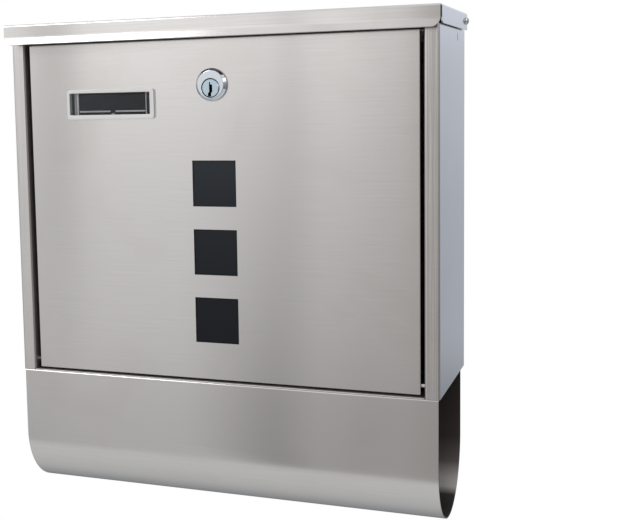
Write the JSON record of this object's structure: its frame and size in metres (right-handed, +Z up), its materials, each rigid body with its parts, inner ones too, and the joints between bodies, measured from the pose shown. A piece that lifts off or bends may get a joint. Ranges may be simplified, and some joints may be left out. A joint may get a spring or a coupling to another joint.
{
  "type": "wall mounted mailbox",
  "caption": "Stainless wall mailbox with a hinged top lid, a locking drop-down front door with square windows and a name plate, and an open newspaper holder below.",
  "frame": {"origin": "centre of the four wall holes, on the back face of the box", "axes": "+X to the right seen from the front, +Y into the wall, +Z up"},
  "size_m": [0.3084, 0.1085, 0.3369],
  "materials": {
    "brushed_steel": "fine brushed stainless steel",
    "rivet_steel": "plain bright stainless steel",
    "chrome": "polished chrome plate",
    "plug_metal": "satin nickel plate",
    "zinc_steel": "zinc-plated steel",
    "black_plastic": "smooth black plastic sheet",
    "clear_plastic": "clear moulded plastic"
  },
  "bodies": {
    "box": {"body_shell": "brushed_steel", "floor_pan": "brushed_steel", "top_rail": "brushed_steel", "newspaper_holder": "brushed_steel", "holder_rivets": "rivet_steel", "lid_pivot_rivet_left": "rivet_steel", "lid_pivot_rivet_right": "rivet_steel", "lid_spacer_left": "rivet_steel", "lid_spacer_right": "rivet_steel", "door_pin_left": "rivet_steel", "door_pin_right": "rivet_steel"},
    "lid": {"lid_panel": "brushed_steel"},
    "door": {"door_panel": "brushed_steel", "window_backing": "black_plastic", "nameplate_frame": "clear_plastic", "nameplate_window": "clear_plastic", "nameplate_tray": "clear_plastic", "nameplate_back": "black_plastic", "lock_housing": "chrome", "lock_washer": "zinc_steel", "lock_nut": "chrome"},
    "lock_works": {"lock_plug": "plug_metal", "lock_cam": "zinc_steel", "cam_washer": "zinc_steel", "cam_screw": "zinc_steel"}
  },
  "joints": [
    {"name": "lid_hinge", "type": "hinge", "parent": "box", "child": "lid", "pos_m": [0, -0.009, 0.1183], "axis": [-1, 0, 0], "range_deg": [0, 92]},
    {"name": "door_hinge", "type": "hinge", "parent": "box", "child": "door", "pos_m": [0, -0.0937, -0.1154], "axis": [1, 0, 0], "range_deg": [0, 100]},
    {"name": "lock_turn", "type": "hinge", "parent": "door", "child": "lock_works", "pos_m": [0, -0.101, 0.0767], "axis": [0, -1, 0], "range_deg": [0, 90]}
  ]
}
